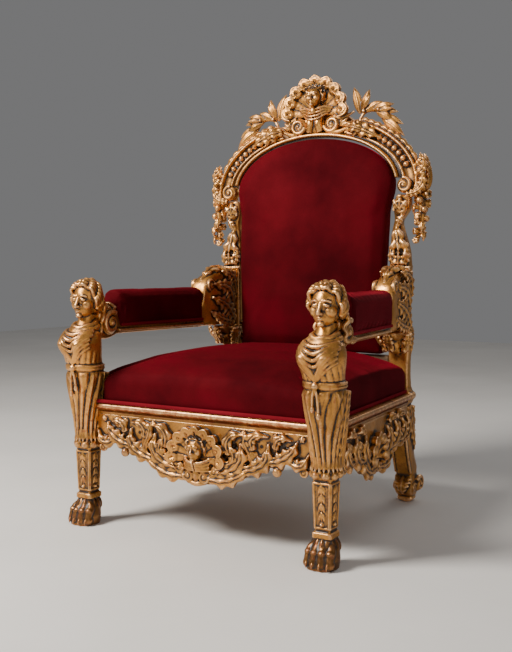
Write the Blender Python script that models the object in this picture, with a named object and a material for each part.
"""Giltwood throne with caryatid front legs, an arched velvet back and a shell cresting.

Metres, +Z up. The throne faces -Y, its right side (seen from the front) is +X, and the
origin is on the floor, under the middle of the whole piece.
"""
import math

import bmesh
import bpy
from mathutils import Vector

CLEAR = 0.0003
ARC_CLEAR = 0.0008
HEAD_STEP = 7.5
TOTAL_HEIGHT = 1.460

# Front legs: a figure on a shaft, standing on a paw
LEG_X = 0.415
LEG_Y = -0.375
FIGURE_HEIGHT = 0.765
FIGURE_BACK = -0.3533
FIGURE_COLUMNS = 20

# Seat frame
RAIL_TOP = 0.380
RAIL_HEIGHT = 0.080
RAIL_THICKNESS = 0.042
MOULDING_HEIGHT = 0.035
MOULDING_NOSE = 0.014
FRONT_RAIL_FACE = -0.374
SIDE_RAIL_FRONT_X = 0.424
SIDE_RAIL_REAR_X = 0.376
BACK_RAIL_Y = 0.318
BACK_RAIL_THICKNESS = 0.030
SEAT_BOARD_THICKNESS = 0.016

# Carved aprons under the rails
APRON_THICKNESS = 0.016
APRON_RELIEF = 0.010
SHELL_RADIUS = 0.100
SHELL_FOOT_Z = 0.262

# Rear legs and posts
POST_INNER_X = 0.293
POST_OUTER_X = 0.366
POST_FRONT = 0.317
POST_DEPTH = 0.053
REAR_LEG_INNER_X = 0.309
REAR_LEG_OUTER_X = 0.371
REAR_LEG_FRONT = 0.293
REAR_LEG_REAR = 0.372
LEDGE_Z = 0.797
POST_RING_Z = 0.603
BACK_RAKE = 0.070

# Arms
ARM_FRONT_X = 0.413
ARM_REAR_X = 0.332
ARM_UNDERSIDE = 0.586
ARM_RAIL_THICKNESS = 0.023
ARM_BLOCK_TOP = 0.675
ARM_BLOCK_BOTTOM = 0.568
ARM_BLOCK_LENGTH = 0.080
ARM_SCROLL_TOP = 0.787
ARM_HALF_WIDTH = 0.031
ARM_SCROLL_HALF_WIDTH = 0.036
ARM_PAD_TOP = 0.732
ARM_PAD_HALF_WIDTH = 0.038
ARM_PAD_LENGTH = 0.400
BRACKET_HEIGHT = 0.076
BRACKET_DEPTH = 0.112

# Cushion and upholstered back
CUSHION_FRONT = -0.384
CUSHION_EDGE_Z = 0.462
CUSHION_CROWN_Z = 0.548
BACK_EDGE_Y = 0.298
BACK_REAR_Y = 0.352
BACK_CROWN = 0.030
BACK_BOTTOM = 0.500
BACK_BOTTOM_HALF = 0.279
BACK_WAIST_HALF = 0.291
LOWER_RAIL_HEIGHT = 0.045

# Head of the back: half ellipses round one centre
ARCH_DROP = 0.390
ARCH_Z = TOTAL_HEIGHT - ARCH_DROP
PANEL_HALF = 0.308
PANEL_RISE = 0.178
BAND_WIDTH = 0.0150
SLIT_WIDTH = 0.0125
ARCH_OUTER_HALF = 0.388
ARCH_OUTER_RISE = 0.248
ARCH_FRONT = 0.312
ARCH_REAR = 0.360
ARCH_FOOT_ANGLE = -5.5
ARCH_END_ANGLE = 56.0
PEARLS = 12
VOLUTE_RADIUS = 0.027
VOLUTE_X = 0.342
SHOULDER_RADIUS = 0.420
SHOULDER_TOP_ANGLE = 14.0

# Cresting, laurel and garlands
CREST_RISE = 0.130
CREST_CENTRE_Z = TOTAL_HEIGHT - CREST_RISE
CREST_HALF = 0.124
CREST_LOBES = 9
MASK_DROP = 0.068
MASK_Z = TOTAL_HEIGHT - MASK_DROP
MASK_RADIUS = 0.041
LAUREL_Y = 0.338
LEAF_THICKNESS = 0.010
GARLAND_LENGTH = 0.150
GARLAND_X = 0.395
GARLAND_RADIUS = 0.026


def clear_scene():
    """Remove whatever the open file holds."""
    for item in list(bpy.data.objects):
        bpy.data.objects.remove(item, do_unlink=True)


def finish(name, colour, roughness, metallic):
    """A plain material with the piece's main colour."""
    material = bpy.data.materials.new(name)
    material.use_nodes = True
    shader = material.node_tree.nodes["Principled BSDF"]
    shader.inputs["Base Color"].default_value = (*colour, 1.0)
    shader.inputs["Roughness"].default_value = roughness
    shader.inputs["Metallic"].default_value = metallic
    material.diffuse_color = (*colour, 1.0)
    return material


def mix(low, high, share):
    return low + (high - low) * share


def smooth_step(low, high, value):
    share = min(max((value - low) / (high - low), 0.0), 1.0)
    return share * share * (3.0 - 2.0 * share)


def hump(distance, width):
    """A soft bump, 1 at its middle."""
    return math.exp(-(distance / width) ** 2)


def on_rows(rows, height):
    """The row of a profile table at a height, by straight lines between its rows."""
    if height <= rows[0][0]:
        return rows[0][1:]
    for low, high in zip(rows, rows[1:]):
        if height <= high[0]:
            share = (height - low[0]) / (high[0] - low[0])
            return tuple(mix(a, b, share) for a, b in zip(low[1:], high[1:]))
    return rows[-1][1:]


def mirrored(shape):
    """The same solid on the other side of the middle plane."""
    points, faces = shape
    return [(-x, y, z) for x, y, z in points], [tuple(reversed(face)) for face in faces]


def raked(shape):
    """The back leans: everything above the ledge moves backward with its height."""
    points, faces = shape
    leaning = [(x, y + BACK_RAKE * max(0.0, z - LEDGE_Z), z) for x, y, z in points]
    return leaning, faces


def tube_of_rings(rings):
    """A closed solid through rings of equal count, each end closed by a flat face."""
    count = len(rings[0])
    points = [tuple(point) for ring in rings for point in ring]
    faces = [tuple(range(count))]
    for level in range(len(rings) - 1):
        first = level * count
        for k in range(count):
            nxt = (k + 1) % count
            faces.append((first + k, first + count + k, first + count + nxt, first + nxt))
    last = (len(rings) - 1) * count
    faces.append(tuple(range(last + count - 1, last - 1, -1)))
    return points, faces


def dome_of_rings(rings, apex):
    """A closed solid whose first ring is a flat face and whose last ring meets in a point."""
    count = len(rings[0])
    points, faces = tube_of_rings(rings)
    faces.pop()
    points.append(tuple(apex))
    top = len(points) - 1
    last = (len(rings) - 1) * count
    for k in range(count):
        faces.append((last + k, top, last + (k + 1) % count))
    return points, faces


def relief_slab(columns, rows, place, front, back):
    """A carved panel: place(u, v) gives x and z, front(x, z) the carved face, back its rear."""
    points = []
    for row in range(rows + 1):
        for column in range(columns + 1):
            x, z = place(column / columns, row / rows)
            points.append((x, front(x, z), z))
    width = columns + 1
    faces = []
    for row in range(rows):
        for column in range(columns):
            a = row * width + column
            faces.append((a, a + 1, a + 1 + width, a + width))
    border = list(range(width))
    border += [row * width + columns for row in range(1, rows + 1)]
    border += [rows * width + column for column in range(columns - 1, -1, -1)]
    border += [row * width for row in range(rows - 1, 0, -1)]
    start = len(points)
    for index in border:
        x, _, z = points[index]
        points.append((x, back, z))
    total = len(border)
    for k in range(total):
        nxt = (k + 1) % total
        faces.append((border[nxt], border[k], start + k, start + nxt))
    faces.append(tuple(range(start + total - 1, start - 1, -1)))
    return points, faces


def add_solid(name, shape, material, smooth_angle=40.0):
    """Make one named object from points and faces, with its faces pointing out."""
    points, faces = shape
    mesh = bpy.data.meshes.new(name)
    mesh.from_pydata([Vector(point) for point in points], [], faces)
    work = bmesh.new()
    work.from_mesh(mesh)
    bmesh.ops.remove_doubles(work, verts=work.verts, dist=0.00001)
    bmesh.ops.triangulate(work, faces=work.faces[:])
    bmesh.ops.recalc_face_normals(work, faces=work.faces[:])
    if work.calc_volume(signed=True) < 0.0:
        bmesh.ops.reverse_faces(work, faces=work.faces[:])
    work.to_mesh(mesh)
    work.free()
    mesh.shade_smooth()
    mesh.set_sharp_from_angle(angle=math.radians(smooth_angle))
    mesh.materials.append(material)
    item = bpy.data.objects.new(name, mesh)
    bpy.context.scene.collection.objects.link(item)
    return item


def fused(shapes, material):
    """Join overlapping solids into one closed body and return its points and faces."""
    parts = [add_solid(f"part_{k}", shape, material) for k, shape in enumerate(shapes)]
    body = parts[0]
    for part in parts[1:]:
        union = body.modifiers.new("union", "BOOLEAN")
        union.operation = "UNION"
        union.solver = "EXACT"
        union.object = part
    bpy.context.view_layer.update()
    graph = bpy.context.evaluated_depsgraph_get()
    mesh = bpy.data.meshes.new_from_object(body.evaluated_get(graph))
    for part in parts:
        bpy.data.objects.remove(part, do_unlink=True)
    points = [tuple(vertex.co) for vertex in mesh.vertices]
    return points, [tuple(face.vertices) for face in mesh.polygons]


def both_sides(name, shape, material):
    """The right piece and its mirror image on the left."""
    add_solid(f"{name}_right", shape, material)
    add_solid(f"{name}_left", mirrored(shape), material)


# The figure's profile, drawn 0.765 m tall: height, half width, front and back half
# depths, middle in y, and how square the section is (2 is round)
FIGURE_DRAWN_HEIGHT = 0.765
FIGURE_ROWS = [
    (0.000, 0.041, 0.044, 0.038, -0.390, 2.6),
    (0.026, 0.047, 0.047, 0.043, -0.389, 2.3),
    (0.054, 0.044, 0.041, 0.040, -0.384, 2.2),
    (0.070, 0.033, 0.031, 0.032, -0.378, 2.2),
    (0.077, 0.026, 0.026, 0.026, -0.375, 6.0),
    (0.080, 0.0295, 0.0295, 0.0295, -0.375, 8.0),
    (0.093, 0.0295, 0.0295, 0.0295, -0.375, 8.0),
    (0.096, 0.0235, 0.0235, 0.0235, -0.375, 9.0),
    (0.234, 0.0275, 0.0275, 0.0275, -0.375, 9.0),
    (0.240, 0.034, 0.037, 0.031, -0.375, 3.0),
    (0.258, 0.035, 0.039, 0.032, -0.375, 3.0),
    (0.264, 0.030, 0.033, 0.030, -0.375, 3.2),
    (0.300, 0.034, 0.037, 0.034, -0.375, 3.2),
    (0.345, 0.040, 0.042, 0.040, -0.375, 3.2),
    (0.380, 0.044, 0.046, 0.043, -0.375, 3.0),
    (0.425, 0.051, 0.053, 0.047, -0.377, 2.7),
    (0.460, 0.056, 0.057, 0.049, -0.380, 2.5),
    (0.478, 0.053, 0.054, 0.048, -0.382, 2.4),
    (0.484, 0.057, 0.058, 0.048, -0.383, 2.4),
    (0.496, 0.057, 0.058, 0.048, -0.384, 2.4),
    (0.501, 0.052, 0.054, 0.046, -0.385, 2.4),
    (0.520, 0.055, 0.055, 0.045, -0.389, 2.3),
    (0.535, 0.059, 0.055, 0.045, -0.393, 2.3),
    (0.550, 0.063, 0.055, 0.045, -0.396, 2.2),
    (0.565, 0.065, 0.055, 0.045, -0.398, 2.2),
    (0.580, 0.064, 0.051, 0.045, -0.398, 2.2),
    (0.594, 0.058, 0.045, 0.042, -0.395, 2.2),
    (0.606, 0.046, 0.041, 0.038, -0.391, 2.1),
    (0.618, 0.031, 0.030, 0.034, -0.386, 2.0),
    (0.634, 0.029, 0.031, 0.038, -0.379, 2.0),
    (0.645, 0.034, 0.044, 0.040, -0.373, 2.0),
    (0.660, 0.043, 0.049, 0.044, -0.371, 2.0),
    (0.677, 0.049, 0.051, 0.048, -0.371, 2.0),
    (0.681, 0.051, 0.051, 0.054, -0.371, 2.0),
    (0.698, 0.053, 0.049, 0.056, -0.371, 2.0),
    (0.716, 0.054, 0.051, 0.056, -0.371, 2.0),
    (0.735, 0.051, 0.048, 0.053, -0.371, 2.0),
    (0.750, 0.040, 0.036, 0.042, -0.371, 2.0),
    (0.760, 0.022, 0.020, 0.024, -0.371, 2.0),
    (0.765, 0.008, 0.008, 0.008, -0.371, 2.0),
]
SHAFT_ROW = 8
COLLAR_ROW = 10
HEM_Z = 0.262
WAIST_Z = 0.480
NECK_Z = 0.600
CHIN_Z = 0.640
HAIRLINE_Z = 0.728
FREE_NAPE_Z = 0.678


def figure_share():
    return FIGURE_HEIGHT / FIGURE_DRAWN_HEIGHT


def leg_half(height):
    """Half width that rails and aprons meet on the front leg: its flat side, or its collar."""
    half_width = on_rows(FIGURE_ROWS, height / figure_share())[0]
    return max(half_width, FIGURE_ROWS[COLLAR_ROW][1]) * figure_share()


def leg_rear(height):
    """Where rails and aprons meet the back of the front leg in y at a height."""
    _, _, back, middle, _ = on_rows(FIGURE_ROWS, height / figure_share())
    back = max(back, FIGURE_ROWS[COLLAR_ROW][3])
    return LEG_Y + (middle - FIGURE_ROWS[SHAFT_ROW][4] + back) * figure_share()


def figure_carving(angle, z):
    """Toes, folds, bust and features: how far the carving stands out of the plain section."""
    turn = math.degrees(angle)
    front = smooth_step(-0.2, 0.6, math.cos(angle))
    out = 0.0
    if z < 0.068:
        toe = math.cos(FIGURE_COLUMNS / 2.0 * angle + math.pi)
        out += 0.0036 * toe * smooth_step(-0.1, 0.3, math.cos(angle))
        out -= 0.004 * front * hump(z - 0.024, 0.008)
    if HEM_Z < z < WAIST_Z:
        out += 0.0035 * math.cos(FIGURE_COLUMNS / 4.0 * angle) * front
        out += 0.004 * hump(turn - 105.0, 22.0) * smooth_step(0.27, 0.33, z)
    if WAIST_Z + 0.022 < z < NECK_Z:
        out += 0.013 * hump(abs(turn) - 34.0, 24.0) * hump(z - 0.562, 0.022)
        rise = z - 0.45 * abs(math.sin(angle)) * 0.06
        out += 0.0022 * math.cos(2.0 * math.pi * (rise - 0.548) / 0.030) * front
    if NECK_Z < z < 0.614:
        out += 0.004 * front
    if z > CHIN_Z:
        face = hump(turn, 40.0)
        out += 0.007 * hump(turn, 9.0) * hump(z - 0.681, 0.012)
        out -= 0.004 * hump(abs(turn) - 27.0, 14.0) * hump(z - 0.699, 0.012)
        out += 0.003 * face * hump(z - 0.648, 0.009)
        hair = 1.0 - hump(turn, 62.0) * (1.0 - smooth_step(0.718, HAIRLINE_Z, z))
        out += 0.0035 * hair * math.cos(7.0 * angle + 90.0 * z)
        out += 0.004 * hair
    return out


def front_leg():
    """The right front leg: paw, square shaft, skirt, bust and head, carved from one post."""
    share = figure_share()
    rings = []
    for z, half, front, back, middle, square in FIGURE_ROWS:
        ring = []
        for k in range(FIGURE_COLUMNS):
            angle = math.radians(360.0 / FIGURE_COLUMNS) * k
            turn = angle if angle <= math.pi else angle - 2.0 * math.pi
            across = abs(math.sin(angle)) / half
            along = abs(math.cos(angle)) / (front if math.cos(angle) > 0.0 else back)
            radius = (across ** square + along ** square) ** (-1.0 / square)
            radius += figure_carving(turn, z)
            x = radius * math.sin(angle)
            y = middle - FIGURE_ROWS[SHAFT_ROW][4] - radius * math.cos(angle)
            if HEM_Z - 0.03 < z < WAIST_Z:
                x = max(x, -half)
                y = min(y, middle - FIGURE_ROWS[SHAFT_ROW][4] + back)
            if 0.53 < z < FREE_NAPE_Z:
                y = min(y, (FIGURE_BACK - LEG_Y) / share)
            ring.append((LEG_X + x * share, LEG_Y + y * share, z * share))
        rings.append(ring)
    return tube_of_rings(rings)


def moulding_profile():
    """Rail section: how far out of the rail's face, and height, round the outline."""
    low = RAIL_TOP - MOULDING_HEIGHT
    nose = MOULDING_NOSE
    outline = [(-RAIL_THICKNESS, RAIL_TOP - RAIL_HEIGHT), (-RAIL_THICKNESS, RAIL_TOP)]
    outline += [(nose * 0.45, RAIL_TOP)]
    middle = RAIL_TOP - MOULDING_HEIGHT * 0.27
    for turn in (50.0, 15.0, -20.0, -55.0):
        angle = math.radians(turn)
        outline.append((nose * (0.5 + 0.5 * math.cos(angle)),
                        middle + MOULDING_HEIGHT * 0.25 * math.sin(angle)))
    outline += [(nose * 0.25, low + MOULDING_HEIGHT * 0.36), (nose * 0.08, low + 0.006)]
    outline += [(0.0, low + 0.005), (0.0, low)]
    outline += [(-APRON_THICKNESS - CLEAR, low), (-APRON_THICKNESS - CLEAR, RAIL_TOP - RAIL_HEIGHT)]
    return outline


def front_rail():
    """The front rail runs from leg to leg, its ends cut to the legs' sides."""
    rings = []
    for side in (-1.0, 1.0):
        rings.append([(side * (LEG_X - leg_half(z) - CLEAR), FRONT_RAIL_FACE - out, z)
                      for out, z in moulding_profile()])
    return tube_of_rings(rings)


def side_rail_x(y):
    """Outer face of the side rail, which runs inward towards the rear."""
    share = (y - leg_rear(RAIL_TOP)) / (REAR_LEG_FRONT - leg_rear(RAIL_TOP))
    return mix(SIDE_RAIL_FRONT_X, SIDE_RAIL_REAR_X, share)


def side_rail():
    """The right side rail, from the back of the front leg to the front of the rear leg."""
    rings = []
    for at_rear in (False, True):
        ring = []
        for out, z in moulding_profile():
            y = REAR_LEG_FRONT - CLEAR if at_rear else leg_rear(z) + CLEAR
            ring.append((side_rail_x(y) + out, y, z))
        rings.append(ring)
    return tube_of_rings(rings)


def box(x0, x1, y0, y1, z0, z1):
    """A plain sawn board."""
    corners = [(x0, y0), (x1, y0), (x1, y1), (x0, y1)]
    return tube_of_rings([[(x, y, z) for x, y in corners] for z in (z0, z1)])


def board_with_outline(outline, z0, z1):
    return tube_of_rings([[(x, y, z) for x, y in outline] for z in (z0, z1)])


# Lower edge of the front apron, as distance from the middle and height
FRONT_APRON_EDGE = [
    (0.000, 0.163), (0.050, 0.167), (0.089, 0.173), (0.129, 0.181), (0.167, 0.205),
    (0.197, 0.221), (0.235, 0.240), (0.252, 0.236), (0.266, 0.222), (0.279, 0.236),
    (0.287, 0.262), (0.305, 0.273), (0.322, 0.250), (0.334, 0.236), (0.360, 0.236),
    (0.400, 0.240),
]
# Lower edge of a side apron, as distance from its middle and height
SIDE_APRON_EDGE = [
    (0.000, 0.174), (0.050, 0.179), (0.100, 0.190), (0.135, 0.212), (0.150, 0.236),
    (0.190, 0.240), (0.235, 0.231), (0.270, 0.226), (0.320, 0.240),
]


def carved_foliage(across, z, middle_z):
    """Leaf scrolls that run outward from a middle: ridges along curling stems."""
    wave = math.sin(across * 2.0 * math.pi / 0.075 + (z - middle_z) * 38.0)
    vein = math.cos((z - middle_z) * 2.0 * math.pi / 0.055 - across * 22.0)
    return 0.5 + 0.5 * wave * vein


def shell_relief(across, z):
    """A scallop shell: ribs that fan out from its foot, 0 outside its rim."""
    away = math.hypot(across, z - SHELL_FOOT_Z)
    if z < SHELL_FOOT_Z - 0.02 or away > SHELL_RADIUS:
        return 0.0
    fan = math.atan2(across, z - SHELL_FOOT_Z)
    rib = abs(math.cos(fan * 3.5))
    return (0.35 + 0.65 * rib) * smooth_step(0.0, 0.5, away / SHELL_RADIUS)


def front_apron():
    """Shell, small mask and leaf scrolls, in one board under the front rail."""
    top = RAIL_TOP - MOULDING_HEIGHT - CLEAR

    def place(u, v):
        reach = 2.0 * u - 1.0
        x = reach * (LEG_X - leg_half(top))
        low = on_rows(FRONT_APRON_EDGE, abs(x))[0]
        z = mix(low, top, v)
        limit = LEG_X - leg_half(z) - CLEAR
        return reach * limit, z

    def front(x, z):
        depth = APRON_RELIEF * max(shell_relief(x, z), 0.75 * carved_foliage(abs(x), z, 0.27))
        depth *= smooth_step(0.0, 0.012, top - z)
        depth += 0.018 * hump(math.hypot(x, (z - 0.290) * 0.8), 0.024)
        depth += 0.008 * hump(math.hypot(x, z - 0.205), 0.028)
        return FRONT_RAIL_FACE - depth

    return relief_slab(44, 5, place, front, FRONT_RAIL_FACE + APRON_THICKNESS)


def side_apron():
    """The right side apron, a lobed board of leaf scrolls that follows the side rail."""
    top = RAIL_TOP - MOULDING_HEIGHT - CLEAR
    rear = REAR_LEG_FRONT - CLEAR
    middle = (leg_rear(top) + rear) / 2.0

    def place(u, v):
        flat = mix(leg_rear(top) + CLEAR, rear, u)
        z = mix(on_rows(SIDE_APRON_EDGE, abs(flat - middle))[0], top, v)
        return mix(leg_rear(z) + CLEAR, rear, u), z

    def front(y, z):
        leaf = 0.8 * carved_foliage(abs(y - middle), z, 0.26)
        boss = hump(math.hypot(y - middle, z - 0.25), 0.045)
        return -APRON_RELIEF * max(leaf, boss) * smooth_step(0.0, 0.012, top - z)

    points, faces = relief_slab(28, 4, place, front, APRON_THICKNESS)
    turned = [(side_rail_x(y) - depth, y, z) for y, depth, z in points]
    return turned, faces


# Rear leg below the seat: height, front and rear in y, and how far each side stands out
REAR_LEG_ROWS = [
    (0.000, 0.361, 0.427, -0.006), (0.015, 0.357, 0.431, 0.000),
    (0.020, 0.366, 0.424, -0.006), (0.028, 0.351, 0.434, 0.000),
    (0.045, 0.343, 0.440, 0.003), (0.070, 0.343, 0.440, 0.003),
    (0.087, 0.347, 0.439, 0.001), (0.094, 0.354, 0.436, -0.002),
    (0.099, 0.349, 0.435, 0.000), (0.150, 0.328, 0.417, 0.000),
    (0.195, 0.313, 0.398, 0.000), (0.235, 0.304, 0.387, 0.000),
    (0.290, 0.297, 0.381, 0.000), (0.344, 0.293, 0.372, 0.000),
]
# The back above the ledge is drawn for an arch centre at this height
DRAWN_LEDGE_Z = 0.797
DRAWN_ARCH_Z = 1.070
# The leaf panel above the ledge: height, inner edge and outer edge in x
STILE_ROWS = [
    (0.797, 0.293, 0.366), (0.845, 0.293, 0.366), (0.890, 0.294, 0.350),
    (0.930, 0.299, 0.334), (0.952, 0.306, 0.326), (0.968, 0.304, 0.343),
    (0.985, 0.299, 0.358), (1.008, 0.299, 0.361), (1.028, 0.306, 0.359),
]


def above_ledge(drawn_z):
    """Height of a level of the back that is drawn between the ledge and the arch centre."""
    return mix(LEDGE_Z, ARCH_Z, (drawn_z - DRAWN_LEDGE_Z) / (DRAWN_ARCH_Z - DRAWN_LEDGE_Z))


def arch_foot_z(x):
    """Underside of the arch's foot, a plane through the centre of the ellipses."""
    return ARCH_Z + x * math.tan(math.radians(ARCH_FOOT_ANGLE))


def post_ring(x0, x1, y0, y1, z, leaf=0.0, chamfer=0.004):
    """One section of the post, with a leaf's midrib standing out of its front."""
    ring = [(x0, y0 + chamfer), (x0 + chamfer, y0), ((x0 + x1) / 2.0, y0 - leaf)]
    ring += [(x1 - chamfer, y0), (x1, y0 + chamfer), (x1, y1), (x0, y1)]
    return [(x, y, z) for x, y in ring]


def rear_leg():
    """The right rear leg and post: scroll foot, sabre leg, post and leaf-carved stile."""
    rings = []
    for z, front, rear, out in REAR_LEG_ROWS:
        rings.append(post_ring(REAR_LEG_INNER_X - out, REAR_LEG_OUTER_X + out, front, rear, z))
    low = RAIL_TOP - MOULDING_HEIGHT
    for share, out in ((0.02, 0.15), (0.36, 0.30), (0.52, 0.85), (0.73, 1.0), (0.92, 0.8), (1.0, 0.45)):
        nose = SIDE_RAIL_REAR_X - REAR_LEG_OUTER_X + MOULDING_NOSE * out
        rings.append(post_ring(REAR_LEG_INNER_X, REAR_LEG_OUTER_X + nose, REAR_LEG_FRONT,
                               REAR_LEG_REAR + MOULDING_NOSE * out * 0.7, low + MOULDING_HEIGHT * share))
    rear = POST_FRONT + POST_DEPTH
    post = (POST_INNER_X, POST_OUTER_X, POST_FRONT, rear)
    rings.append(post_ring(*post, RAIL_TOP + CLEAR / 3.0))
    for z, out in ((0.500, 0.0), (0.504, 0.003), (0.590, 0.003), (0.596, 0.0)):
        rings.append(post_ring(POST_INNER_X, POST_OUTER_X + out, POST_FRONT, rear + out, z))
    for step, out in ((-0.005, 0.005), (0.005, 0.005), (0.008, 0.0)):
        rings.append(post_ring(POST_INNER_X, POST_OUTER_X + out, POST_FRONT, rear + out,
                               POST_RING_Z + step))
    for step, out in ((-0.012, 0.0), (-0.010, 0.005), (-0.002, 0.005)):
        rings.append(post_ring(POST_INNER_X, POST_OUTER_X + out, POST_FRONT - out, rear,
                               LEDGE_Z + step))
    for z, inner, outer in STILE_ROWS:
        leaf = 0.008 if z > DRAWN_LEDGE_Z else 0.0
        depth = 0.004
        rings.append(post_ring(inner, outer, POST_FRONT + depth, rear, above_ledge(z), leaf))
    top = [(x, y, arch_foot_z(x) - CLEAR * 1.2)
           for x, y, _ in post_ring(0.309, 0.359, POST_FRONT + 0.002, rear, 0.0)]
    rings.append(top)
    return raked(tube_of_rings(rings))


def arm_x(y):
    """The arm runs inward from the figure to the post."""
    share = (y - FIGURE_BACK) / (POST_FRONT - FIGURE_BACK)
    return mix(ARM_FRONT_X, ARM_REAR_X, share)


def arm_section(y, half, low, high, ripple=0.0):
    """One upright section of the arm, with its corners rounded and its leaves rippled."""
    ring = []
    middle = (low + high) / 2.0
    for k in range(12):
        angle = math.radians(15.0 + 30.0 * k)
        across = abs(math.cos(angle)) ** 0.45 * math.copysign(1.0, math.cos(angle))
        up = abs(math.sin(angle)) ** 0.45 * math.copysign(1.0, math.sin(angle))
        wave = 1.0 + ripple * math.cos(math.radians(90.0 * k) + y * 90.0)
        ring.append((arm_x(y) + half * across * wave, y, middle + (high - low) / 2.0 * up))
    return ring


def arm_pad_front():
    return FIGURE_BACK + CLEAR + ARM_BLOCK_LENGTH


def arm():
    """The right arm: volute block behind the figure, thin rail, and acanthus scroll at the post."""
    start = FIGURE_BACK + CLEAR
    rail_top = ARM_UNDERSIDE + ARM_RAIL_THICKNESS
    block_end = arm_pad_front() - 3.0 * CLEAR
    rings = []
    for share, drop, crown in ((0.0, 0.65, 0.70), (0.12, 0.25, 0.93), (0.35, 0.0, 1.0),
                               (0.62, 0.10, 1.0), (0.85, 0.45, 0.97), (1.0, 0.80, 0.90)):
        y = mix(start, block_end, share)
        low = mix(ARM_BLOCK_BOTTOM, ARM_UNDERSIDE, drop)
        high = mix(rail_top, ARM_BLOCK_TOP, crown)
        rings.append(arm_section(y, ARM_HALF_WIDTH, low, high))
    rings.append(arm_section(block_end + 2.0 * CLEAR, ARM_HALF_WIDTH * 0.9, ARM_UNDERSIDE, rail_top - CLEAR))
    pad_end = arm_pad_front() + ARM_PAD_LENGTH + CLEAR
    rings.append(arm_section(pad_end, ARM_HALF_WIDTH * 0.9, ARM_UNDERSIDE, rail_top - CLEAR))
    rear = POST_FRONT - CLEAR
    begin = pad_end + 0.002
    for share, rise, half in ((0.0, 0.62, 0.85), (0.10, 0.80, 1.0), (0.25, 0.91, 1.05), (0.42, 0.97, 1.0),
                              (0.60, 1.0, 0.95), (0.78, 0.98, 0.95), (1.0, 0.93, 0.88)):
        y = mix(begin, rear, share)
        high = mix(rail_top, ARM_SCROLL_TOP, rise)
        rings.append(arm_section(y, ARM_SCROLL_HALF_WIDTH * half, ARM_UNDERSIDE, high, 0.10))
    return tube_of_rings(rings)


def arm_pad():
    """The right arm pad, a long crowned cushion nailed on the arm."""
    start = arm_pad_front()
    low = ARM_UNDERSIDE + ARM_RAIL_THICKNESS
    rings = []
    for share, width, height in ((0.0, 0.93, 0.93), (0.03, 1.0, 0.98), (0.5, 1.0, 1.0), (0.97, 1.0, 0.98),
                                 (1.0, 0.93, 0.93)):
        y = mix(start, start + ARM_PAD_LENGTH, share)
        high = mix(low, ARM_PAD_TOP, height)
        half = ARM_PAD_HALF_WIDTH * width
        ring = [(-0.94, 0.0), (0.94, 0.0), (1.0, 0.3), (1.0, 0.72), (0.86, 0.9), (0.45, 0.985),
                (0.0, 1.0), (-0.45, 0.985), (-0.86, 0.9), (-1.0, 0.72), (-1.0, 0.3)]
        rings.append([(arm_x(y) + half * across, y, mix(low, high, up)) for across, up in ring])
    return tube_of_rings(rings)


def arm_bracket():
    """The right bracket, a cluster of leaves between the arm, the post and the cushion."""
    top = ARM_UNDERSIDE - CLEAR
    rear = POST_FRONT - CLEAR
    rings = []
    for share, depth, half in ((0.0, 0.32, 0.45), (0.12, 0.50, 0.75), (0.45, 0.62, 0.95), (0.62, 0.55, 0.85),
                               (0.72, 0.85, 1.0), (1.0, 1.0, 1.05)):
        z = mix(top - BRACKET_HEIGHT, top, share)
        ring = []
        for k in range(9):
            angle = math.radians(180.0 * k / 8.0)
            wave = 1.0 + 0.09 * math.cos(math.pi * k)
            x = arm_x(rear) + math.cos(angle) * ARM_SCROLL_HALF_WIDTH * 0.9 * half * wave
            ring.append((x, rear - math.sin(angle) * BRACKET_DEPTH * depth * wave, z))
        rings.append(ring)
    return tube_of_rings(rings)


def cushion_outline():
    """Plan of the seat cushion: notched round the front legs and round the back."""
    notch_x = LEG_X - leg_half(0.460) - 0.0015
    notch_y = leg_rear(0.460) + 0.0015
    side_front = side_rail_x(notch_y) - 0.012
    side_rear = side_rail_x(POST_FRONT) - 0.004
    rear = POST_FRONT - CLEAR
    inner = BACK_EDGE_Y - BACK_CROWN - 0.002
    half = [(0.0, CUSHION_FRONT), (notch_x * 0.35, CUSHION_FRONT), (notch_x * 0.7, CUSHION_FRONT),
            (notch_x - 0.006, CUSHION_FRONT), (notch_x, CUSHION_FRONT + 0.006),
            (notch_x, notch_y - 0.004), (notch_x + 0.004, notch_y), (side_front - 0.006, notch_y),
            (side_front, notch_y + 0.006), (mix(side_front, side_rear, 0.33), -0.10),
            (mix(side_front, side_rear, 0.66), 0.10), (side_rear, rear - 0.008),
            (side_rear - 0.008, rear), (BACK_WAIST_HALF + 0.006, rear),
            (BACK_WAIST_HALF + 0.002, rear - 0.004), (BACK_WAIST_HALF + 0.002, inner + 0.004),
            (BACK_WAIST_HALF - 0.003, inner), (BACK_WAIST_HALF * 0.5, inner), (0.0, inner)]
    other = [(-x, y) for x, y in half[-2:0:-1]]
    return half + other


def seat_cushion():
    """The stuffed seat: flat below, upright sides, crowned top."""
    outline = cushion_outline()
    low = RAIL_TOP + CLEAR
    rings = []
    for scale, share in ((1.0, 0.0), (1.0, 0.75), (0.975, 1.0), (0.88, None), (0.66, None), (0.36, None)):
        ring = []
        for x, y in outline:
            corner = 0.5 * smooth_step(0.15, 0.36, abs(x)) + 0.5 * smooth_step(0.15, 0.36, abs(y))
            edge = CUSHION_EDGE_Z + 0.030 * (1.0 - corner)
            if share is None:
                rise = 1.0 - ((scale - 0.0) / 0.975) ** 2.2
                z = mix(edge, CUSHION_CROWN_Z, rise)
            else:
                z = mix(low, edge, share)
            ring.append((x * scale, y * scale, z))
        rings.append(ring)
    return dome_of_rings(rings, (0.0, 0.0, CUSHION_CROWN_Z))


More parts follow.
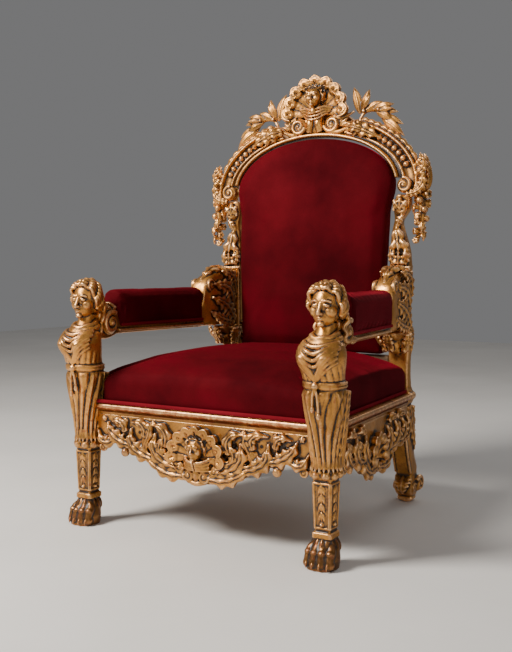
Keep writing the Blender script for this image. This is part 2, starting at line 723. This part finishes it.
def panel_outline(margin=0.0):
    """Outline of the velvet back, seen from the front, from the foot round the head."""
    right = [(BACK_BOTTOM_HALF + margin, BACK_BOTTOM - margin)]
    right.append((mix(BACK_BOTTOM_HALF, BACK_WAIST_HALF, 0.33) + margin, mix(BACK_BOTTOM, LEDGE_Z, 0.54)))
    for share, z in ((0.67, DRAWN_LEDGE_Z), (0.83, 0.90), (1.0, 0.985)):
        right.append((mix(BACK_BOTTOM_HALF, BACK_WAIST_HALF, share) + margin, above_ledge(z)))
    right.append((mix(BACK_WAIST_HALF, PANEL_HALF, 0.53) + margin, above_ledge(1.025)))
    for step in range(round(90.0 / HEAD_STEP) + 1):
        angle = math.radians(HEAD_STEP * step)
        right.append(((PANEL_HALF + margin) * math.cos(angle), ARCH_Z + (PANEL_RISE + margin) * math.sin(angle)))
    left = [(-x, z) for x, z in right[-2::-1]]
    return right + left


def back_upholstery():
    """The stuffed velvet back, crowned forward, plain behind."""
    middle = above_ledge(0.90)
    outline = panel_outline()
    rings = []
    steps = ((0.985, None, BACK_REAR_Y), (1.0, None, BACK_REAR_Y - 0.006), (1.0, None, BACK_EDGE_Y + 0.008),
             (0.975, None, BACK_EDGE_Y), (0.86, 0.50, None), (0.50, 0.92, None))
    for scale, rise, plain in steps:
        y = plain if plain is not None else BACK_EDGE_Y - BACK_CROWN * rise
        rings.append([(x * scale, y, middle + (z - middle) * scale) for x, z in outline])
    return raked(dome_of_rings(rings, (0.0, BACK_EDGE_Y - BACK_CROWN, middle)))


def arc_radius(half, rise, angle):
    """Distance from the ellipses' centre to one of them, in a direction."""
    return half * rise / math.hypot(rise * math.cos(angle), half * math.sin(angle))


def band_outer():
    return PANEL_HALF + CLEAR + BAND_WIDTH, PANEL_RISE + CLEAR + BAND_WIDTH


def back_band():
    """The gilt band round the head of the velvet back, which stops short of the volutes."""
    outer_half, outer_rise = band_outer()
    rings = []
    for step in range(1, round(180.0 / HEAD_STEP)):
        angle = math.radians(HEAD_STEP * step)
        ring = []
        for share, y in ((0.0, BACK_EDGE_Y + 0.014), (0.5, BACK_EDGE_Y + 0.008), (1.0, BACK_EDGE_Y + 0.014),
                         (1.0, BACK_REAR_Y), (0.0, BACK_REAR_Y)):
            half = mix(PANEL_HALF + CLEAR, outer_half, share)
            rise = mix(PANEL_RISE + CLEAR, outer_rise, share)
            ring.append((half * math.cos(angle), y, ARCH_Z + rise * math.sin(angle)))
        rings.append(ring)
    return raked(tube_of_rings(rings))


def volute_z():
    return ARCH_Z - 0.003


def arch_edges(angle):
    """Inner and outer radius of the pearled arch in a direction."""
    outer_half, outer_rise = band_outer()
    inner = arc_radius(outer_half + SLIT_WIDTH, outer_rise + ARC_CLEAR, angle)
    away = abs(angle) * VOLUTE_X / VOLUTE_RADIUS
    if away < 1.0:
        inner = min(inner, VOLUTE_X - VOLUTE_RADIUS * math.sqrt(1.0 - away * away))
    outer = arc_radius(ARCH_OUTER_HALF, ARCH_OUTER_RISE, angle)
    top = math.radians(SHOULDER_TOP_ANGLE)
    shoulder = smooth_step(top + math.radians(5.0), top, angle)
    swell = 0.004 * hump(angle - top, math.radians(2.5))
    return inner, mix(outer, SHOULDER_RADIUS - 0.006 * abs(angle) / top, shoulder) + swell


def arch():
    """The right half of the arch: volute, row of pearls and scrolled shoulder."""
    foot = math.radians(ARCH_FOOT_ANGLE)
    end = math.radians(ARCH_END_ANGLE)
    first_pearl = math.radians(6.0)
    columns = 2 * PEARLS + 10

    def place(u, v):
        angle = mix(end, foot, u)
        inner, outer = arch_edges(angle)
        radius = mix(inner, outer, v)
        return radius * math.cos(angle), ARCH_Z + radius * math.sin(angle)

    def front(x, z):
        angle = math.atan2(z - ARCH_Z, x)
        inner, _ = arch_edges(angle)
        band = arc_radius(ARCH_OUTER_HALF, ARCH_OUTER_RISE, angle)
        across = (math.hypot(x, z - ARCH_Z) - inner) / (band - inner)
        out = 0.0
        if angle > first_pearl:
            step = (angle - first_pearl) / (end - first_pearl) * PEARLS
            pearl = abs(math.sin(math.pi * step))
            out += 0.008 * pearl * hump(across - 0.48, 0.20)
            out += 0.005 * hump(across - 0.95, 0.12) + 0.004 * hump(across - 0.05, 0.12)
        round_volute = math.hypot(x - VOLUTE_X, z - volute_z()) / VOLUTE_RADIUS
        out += 0.010 * smooth_step(1.1, 0.8, round_volute)
        out -= 0.004 * hump(round_volute - 0.6, 0.2)
        out += 0.006 * smooth_step(1.05, 1.35, across)
        return ARCH_FRONT - out

    return raked(relief_slab(columns, 4, place, front, ARCH_REAR))


def crest_outline(angle):
    """Outline of the cresting about its centre, 0 towards +X and a quarter turn upward."""
    turn = math.degrees(angle)
    rise = TOTAL_HEIGHT - CREST_CENTRE_Z
    if turn < 4.0:
        return None
    lobe = abs(math.sin(math.radians((turn - 4.0) / 172.0 * 180.0 * CREST_LOBES)))
    shell = arc_radius(CREST_HALF, rise, angle)
    return shell * (0.93 + 0.07 * math.sqrt(lobe))


def crest_border():
    """Points of the cresting's outline as x and z, from the lower right round the top."""
    border = []
    end = math.radians(ARCH_END_ANGLE)
    inner, outer = arch_edges(end)
    gap = CLEAR * 1.5
    foot_half, foot_rise = band_outer()
    for radius in (inner, mix(inner, outer, 0.5), outer):
        x = radius * math.cos(end) - gap * math.sin(end)
        z = ARCH_Z + radius * math.sin(end) + gap * math.cos(end)
        border.append((x, z))
    border.append((outer * math.cos(end) * 0.96, ARCH_Z + outer * math.sin(end) + 0.020))
    count = CREST_LOBES * 4
    for step in range(count + 1):
        turn = math.radians(4.001 + 171.998 * step / count)
        radius = crest_outline(turn)
        border.append((radius * math.cos(turn), CREST_CENTRE_Z + radius * math.sin(turn)))
    border += [(-x, z) for x, z in border[3::-1]]
    for step in range(1, 12):
        angle = mix(math.pi - end, end, step / 12.0)
        radius = arc_radius(foot_half + ARC_CLEAR, foot_rise + ARC_CLEAR, angle)
        border.append((radius * math.cos(angle), ARCH_Z + radius * math.sin(angle)))
    return border


def crest():
    """Shell, mask, collar and a pair of C-scrolls, carved from one block."""
    border = crest_border()
    rings = [[(x, ARCH_REAR, z) for x, z in border]]
    scroll_z = CREST_CENTRE_Z - 0.040
    for scale in (1.0, 0.90, 0.74, 0.56, 0.34):
        ring = []
        for x, z in border:
            px, pz = x * scale, CREST_CENTRE_Z + (z - CREST_CENTRE_Z) * scale
            above = pz - CREST_CENTRE_Z
            turn = math.degrees(math.atan2(above, px))
            out = 0.004
            if turn > 0.0:
                lobe = abs(math.sin(math.radians((turn - 4.0) / 172.0 * 180.0 * CREST_LOBES)))
                out += 0.014 * lobe * smooth_step(0.2, 0.8, scale)
                out += 0.010 * hump(scale - 0.95, 0.10)
            for side in (-1.0, 1.0):
                ring_away = math.hypot(px - side * 0.063, pz - scroll_z) / 0.030
                out += 0.022 * hump(ring_away - 0.75, 0.35)
            out += 0.014 * hump(math.hypot(px, (above - 0.010) * 1.6), 0.045)
            out += 0.052 * smooth_step(1.25, 0.35, math.hypot(px, pz - MASK_Z) / MASK_RADIUS)
            ring.append((px, ARCH_FRONT + 0.014 - out, pz))
        rings.append(ring)
    return raked(dome_of_rings(rings, (0.0, ARCH_FRONT - 0.004, CREST_CENTRE_Z)))


# Laurel leaves of the right spray: foot and tip as x and z, and half width
LAUREL_LEAVES = [
    ((0.160, 1.320), (0.133, 1.412), 0.0150),
    ((0.168, 1.323), (0.194, 1.400), 0.0125),
    ((0.178, 1.327), (0.242, 1.356), 0.0110),
    ((0.206, 1.328), (0.285, 1.343), 0.0110),
    ((0.222, 1.324), (0.300, 1.316), 0.0115),
    ((0.222, 1.320), (0.282, 1.288), 0.0125),
    ((0.236, 1.305), (0.320, 1.272), 0.0125),
    ((0.242, 1.299), (0.327, 1.232), 0.0140),
]


def leaf_solid(foot, tip, half, y):
    """One pointed leaf: a lens with a raised midrib."""
    along = Vector((tip[0] - foot[0], 0.0, tip[1] - foot[1]))
    side = Vector((along.z, 0.0, -along.x)).normalized()
    start = Vector((foot[0], y, foot[1]))
    rings = []
    for share, width in ((0.0, 0.25), (0.42, 1.0), (0.97, 0.08)):
        middle = start + along * share
        reach = side * half * width
        rib = Vector((0.0, LEAF_THICKNESS * 0.5 * max(width, 0.3), 0.0))
        rings.append([middle - reach, middle - rib, middle + reach, middle + rib])
    return tube_of_rings(rings)


def stem_solid(route, radius, first_normal=None):
    """A round stem along a route of points."""
    rings = []
    for k, point in enumerate(route):
        here = Vector(point)
        before = Vector(route[max(k - 1, 0)])
        after = Vector(route[min(k + 1, len(route) - 1)])
        along = (after - before).normalized()
        if k == 0 and first_normal is not None:
            along = first_normal.normalized()
        side = along.cross(Vector((0.0, 1.0, 0.0))).normalized()
        depth = side.cross(along).normalized()
        reach = radius * (1.0 if k < len(route) - 1 else 0.4)
        ring = []
        for step in range(6):
            angle = math.radians(60.0 * step + 17.0)
            ring.append(here + side * math.cos(angle) * reach + depth * math.sin(angle) * reach)
        rings.append(ring)
    return tube_of_rings(rings)


def laurel(material):
    """The right laurel spray, which springs from the end of the arch."""
    angle = math.radians(ARCH_END_ANGLE - 2.2)
    _, radius = arch_edges(angle)
    root = Vector((radius * math.cos(angle), 0.0, radius * math.sin(angle)))
    outward = Vector((root.x / ARCH_OUTER_HALF ** 2, 0.0, root.z / ARCH_OUTER_RISE ** 2)).normalized()
    seat = root + outward * CLEAR * 3.0 + Vector((0.0, 0.0, ARCH_Z))
    lift = ARCH_Z - DRAWN_ARCH_Z
    route = [(seat.x, LAUREL_Y, seat.z), (seat.x - 0.001, LAUREL_Y, seat.z + 0.016)]
    route += [(x, LAUREL_Y, z + lift) for x, z in ((0.183, 1.3245), (0.222, 1.3235), (0.248, 1.298))]
    shapes = [stem_solid(route, 0.0062, outward)]
    for k, (foot, tip, half) in enumerate(LAUREL_LEAVES):
        start, end = (Vector((x, z + lift)) for x, z in (foot, tip))
        near = start - (end - start).normalized() * 0.006
        shapes.append(leaf_solid(near, end, half, LAUREL_Y + 0.0013 * (k % 3 - 1) + 0.0004))
    return raked(fused(shapes, material))


def garland():
    """The right garland, a drop of fruit and flowers under the arch's shoulder."""
    middle_y = (ARCH_FRONT + ARCH_REAR) / 2.0 - 0.004
    rings = []
    profile = ((0.0, 0.50), (0.06, 0.70), (0.15, 1.0), (0.25, 0.72), (0.36, 1.0), (0.47, 0.76),
               (0.60, 1.12), (0.72, 0.85), (0.84, 0.75), (0.94, 0.45), (1.0, 0.18))
    for share, size in profile:
        ring = []
        centre_x = GARLAND_X + 0.008 * math.sin(math.pi * share) - 0.010 * share
        for k in range(10):
            angle = math.radians(36.0 * k)
            bump = 1.0 + 0.14 * math.cos(3.0 * angle + share * 14.0)
            x = centre_x + GARLAND_RADIUS * size * bump * math.cos(angle)
            y = middle_y + GARLAND_RADIUS * 0.85 * size * bump * math.sin(angle)
            top = arch_foot_z(x) - CLEAR * 1.2
            flat_top = arch_foot_z(centre_x) - CLEAR * 1.2
            z = top if share == 0.0 else flat_top - GARLAND_LENGTH * share
            ring.append((x, y, z))
        rings.append(ring)
    return raked(tube_of_rings(rings))


def centre_depth():
    """Move everything along Y so that the origin is under the middle of the throne."""
    depths = [vertex.co.y for item in bpy.data.objects for vertex in item.data.vertices]
    shift = -(min(depths) + max(depths)) / 2.0
    for item in bpy.data.objects:
        for vertex in item.data.vertices:
            vertex.co.y += shift


def build():
    """Make every piece of the throne."""
    clear_scene()
    gilt = finish("gilt_wood", (0.56, 0.35, 0.11), 0.38, 0.75)
    velvet = finish("crimson_velvet", (0.22, 0.006, 0.018), 0.85, 0.0)
    plain = finish("plain_wood", (0.23, 0.14, 0.08), 0.75, 0.0)

    both_sides("front_leg", front_leg(), gilt)
    both_sides("rear_leg", rear_leg(), gilt)
    add_solid("front_rail", front_rail(), gilt)
    both_sides("side_rail", side_rail(), gilt)
    back_rail_half = REAR_LEG_INNER_X - CLEAR
    add_solid("back_rail", box(-back_rail_half, back_rail_half, BACK_RAIL_Y, BACK_RAIL_Y + BACK_RAIL_THICKNESS,
                               RAIL_TOP - RAIL_HEIGHT, RAIL_TOP), gilt)
    add_solid("front_apron", front_apron(), gilt)
    both_sides("side_apron", side_apron(), gilt)

    board_front = FRONT_RAIL_FACE + RAIL_THICKNESS + CLEAR
    board_rear = BACK_RAIL_Y - CLEAR
    front_half = side_rail_x(leg_rear(RAIL_TOP)) - RAIL_THICKNESS - CLEAR
    rear_half = side_rail_x(REAR_LEG_FRONT) - RAIL_THICKNESS - CLEAR
    corner = leg_rear(RAIL_TOP) + 0.002
    notch = LEG_X - leg_half(RAIL_TOP) - 0.002
    rear_notch = REAR_LEG_INNER_X - CLEAR
    rear_corner = REAR_LEG_FRONT - 0.002
    plan = [(notch, board_front), (notch, corner), (front_half, corner), (rear_half, rear_corner),
            (rear_notch, rear_corner), (rear_notch, board_rear)]
    plan = plan + [(-x, y) for x, y in reversed(plan)]
    add_solid("seat_board", board_with_outline(plan, RAIL_TOP - SEAT_BOARD_THICKNESS, RAIL_TOP), plain)
    add_solid("seat_cushion", seat_cushion(), velvet)

    both_sides("arm", arm(), gilt)
    both_sides("arm_pad", arm_pad(), velvet)
    both_sides("arm_bracket", arm_bracket(), gilt)

    lower_half = POST_INNER_X - CLEAR
    add_solid("lower_back_rail", box(-lower_half, lower_half, BACK_EDGE_Y + 0.022, BACK_REAR_Y,
                                     BACK_BOTTOM - CLEAR - LOWER_RAIL_HEIGHT, BACK_BOTTOM - CLEAR), plain)
    add_solid("back_upholstery", back_upholstery(), velvet)
    add_solid("back_band", back_band(), gilt)
    both_sides("arch", arch(), gilt)
    add_solid("crest", crest(), gilt)
    both_sides("laurel", laurel(gilt), gilt)
    both_sides("garland", garland(), gilt)
    centre_depth()


build()
